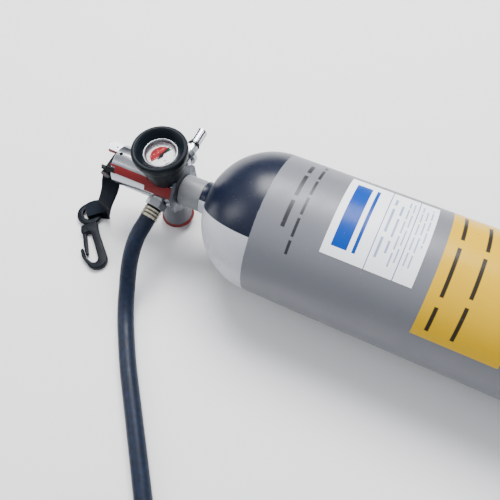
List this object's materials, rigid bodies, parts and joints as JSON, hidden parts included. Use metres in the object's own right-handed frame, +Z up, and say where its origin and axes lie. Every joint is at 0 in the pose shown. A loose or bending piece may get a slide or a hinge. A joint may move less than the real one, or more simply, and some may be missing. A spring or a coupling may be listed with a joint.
{
  "type": "emergency escape breathing air pack",
  "caption": "Small breathing-air cylinder lying on its side, with reducer, gauge, shut-off wheel, fill port, hose and pull-to-start lanyard.",
  "frame": {"origin": "on the air cylinder's axis, at the middle of its straight wall", "axes": "+X along the cylinder towards its foot, +Y towards the filling port, +Z up along the gauge's axis; the pack lies on the plane z = -0.058"},
  "size_m": [0.4851, 0.473, 0.1161],
  "materials": {
    "cylinder_paint": "glossy two-colour shoulder over a satin grey body",
    "ring_paint": "satin grey",
    "flange_metal": "dull, turned",
    "rubber_black": "matte moulded",
    "seal_rubber": "smooth",
    "nickel_bright": "polished nickel plate",
    "nickel_satin": "satin nickel plate",
    "brass_part": "turned",
    "copper_washer": "soft copper",
    "spring_steel": "drawn wire",
    "seat_plastic": "white",
    "case_metal": "satin dark grey",
    "dial_white": "printed dial",
    "pointer_black": "matte black",
    "window": "clear",
    "wheel_paint": "satin grey",
    "red_paint": "satin red",
    "hose_rubber": "smooth black with a blue cast",
    "webbing": "woven, tubular edges",
    "hook_plastic": "moulded nylon",
    "pin_black": "blackened steel",
    "steel_tongue": "pressed strip",
    "label_white": "film label",
    "label_yellow": "film label"
  },
  "bodies": {
    "air_set": {"cylinder_shell": "cylinder_paint", "neck_ring": "ring_paint", "neck_seal": "seal_rubber", "valve_flange": "flange_metal", "inlet_filter": "brass_part", "reducer_barrel": "nickel_bright", "barrel_cap": "flange_metal", "reducer_spring": "spring_steel", "gauge_stem": "brass_part", "gauge_washer": "copper_washer", "gauge_case": "case_metal", "bourdon_tube": "brass_part", "gauge_movement": "brass_part", "gauge_dial": "dial_white", "gauge_lens": "window", "gauge_bezel": "nickel_bright", "gauge_boot": "rubber_black", "fill_connector": "nickel_bright", "fill_spring": "spring_steel", "fill_seal": "seal_rubber", "bonnet": "nickel_satin", "spindle_seal": "seal_rubber", "hose_nut": "nickel_satin", "hose_insert": "nickel_satin", "hose_ferrule": "nickel_bright", "hose": "hose_rubber", "hose_coil": "hose_rubber", "end_ferrule": "nickel_bright", "end_plug": "nickel_bright", "end_seal": "seal_rubber", "white_label": "label_white", "yellow_label": "label_yellow"},
    "gauge_needle": {"gauge_pointer": "pointer_black"},
    "handwheel_set": {"spindle": "nickel_satin", "handwheel": "wheel_paint", "handwheel_ring": "red_paint", "handwheel_screw": "nickel_satin"},
    "shutoff_plunger": {"seat_plunger": "brass_part"},
    "screw_cap": {"fill_cap": "nickel_bright"},
    "inlet_poppet": {"fill_poppet": "brass_part"},
    "piston": {"reducer_piston": "brass_part", "piston_seal": "seal_rubber", "seat_insert": "seat_plastic"},
    "release_fork": {"release_front_arm": "red_paint", "release_back_arm": "red_paint", "release_tongue": "steel_tongue", "release_pin": "pin_black", "lanyard_strap": "webbing"},
    "hook": {"snap_hook": "hook_plastic"},
    "gate": {"hook_gate": "hook_plastic"}
  },
  "joints": [
    {"name": "gauge_sweep", "type": "hinge", "parent": "air_set", "child": "gauge_needle", "pos_m": [-0.221, 0, 0.035], "axis": [0, 0, 1], "range_deg": [-100, 150]},
    {"name": "handwheel_turn", "type": "hinge", "parent": "air_set", "child": "handwheel_set", "pos_m": [-0.221, 0, -0.038], "axis": [0, 0, -1], "range_deg": [0, 540]},
    {"name": "shutoff_travel", "type": "slide", "parent": "air_set", "child": "shutoff_plunger", "axis": [0, 0, -1], "range_m": [0, 0.0015]},
    {"name": "cap_unscrew", "type": "slide", "parent": "air_set", "child": "screw_cap", "axis": [0, 1, 0], "range_m": [0, 0.014]},
    {"name": "poppet_lift", "type": "slide", "parent": "air_set", "child": "inlet_poppet", "axis": [0, -1, 0], "range_m": [0, 0.0012], "stiffness_N_per_m": 100, "springref_m": -0.002, "deforming": ["fill_spring"]},
    {"name": "fork_pull", "type": "slide", "parent": "air_set", "child": "release_fork", "axis": [-1, 0, 0], "range_m": [0, 0.012]},
    {"name": "piston_travel", "type": "slide", "parent": "air_set", "child": "piston", "axis": [-1, 0, 0], "range_m": [0, 0.003], "deforming": ["reducer_spring"]},
    {"name": "hook_swing", "type": "hinge", "parent": "release_fork", "child": "hook", "pos_m": [-0.2991, -0.03372, -0.0553], "axis": [0, 0, -1], "range_deg": [0, 90]},
    {"name": "gate_flex", "type": "hinge", "parent": "hook", "child": "gate", "pos_m": [-0.29315, -0.05232, -0.0553], "axis": [0, 0, 1], "range_deg": [0, 16], "stiffness_Nm_per_rad": 0.05, "springref_deg": -5.73}
  ],
  "couplings": [
    {"joint": "shutoff_travel", "follows": "handwheel_turn", "m_per_rad": 0.00015915},
    {"joint": "piston_travel", "follows": "fork_pull", "ratio": 0.25}
  ]
}
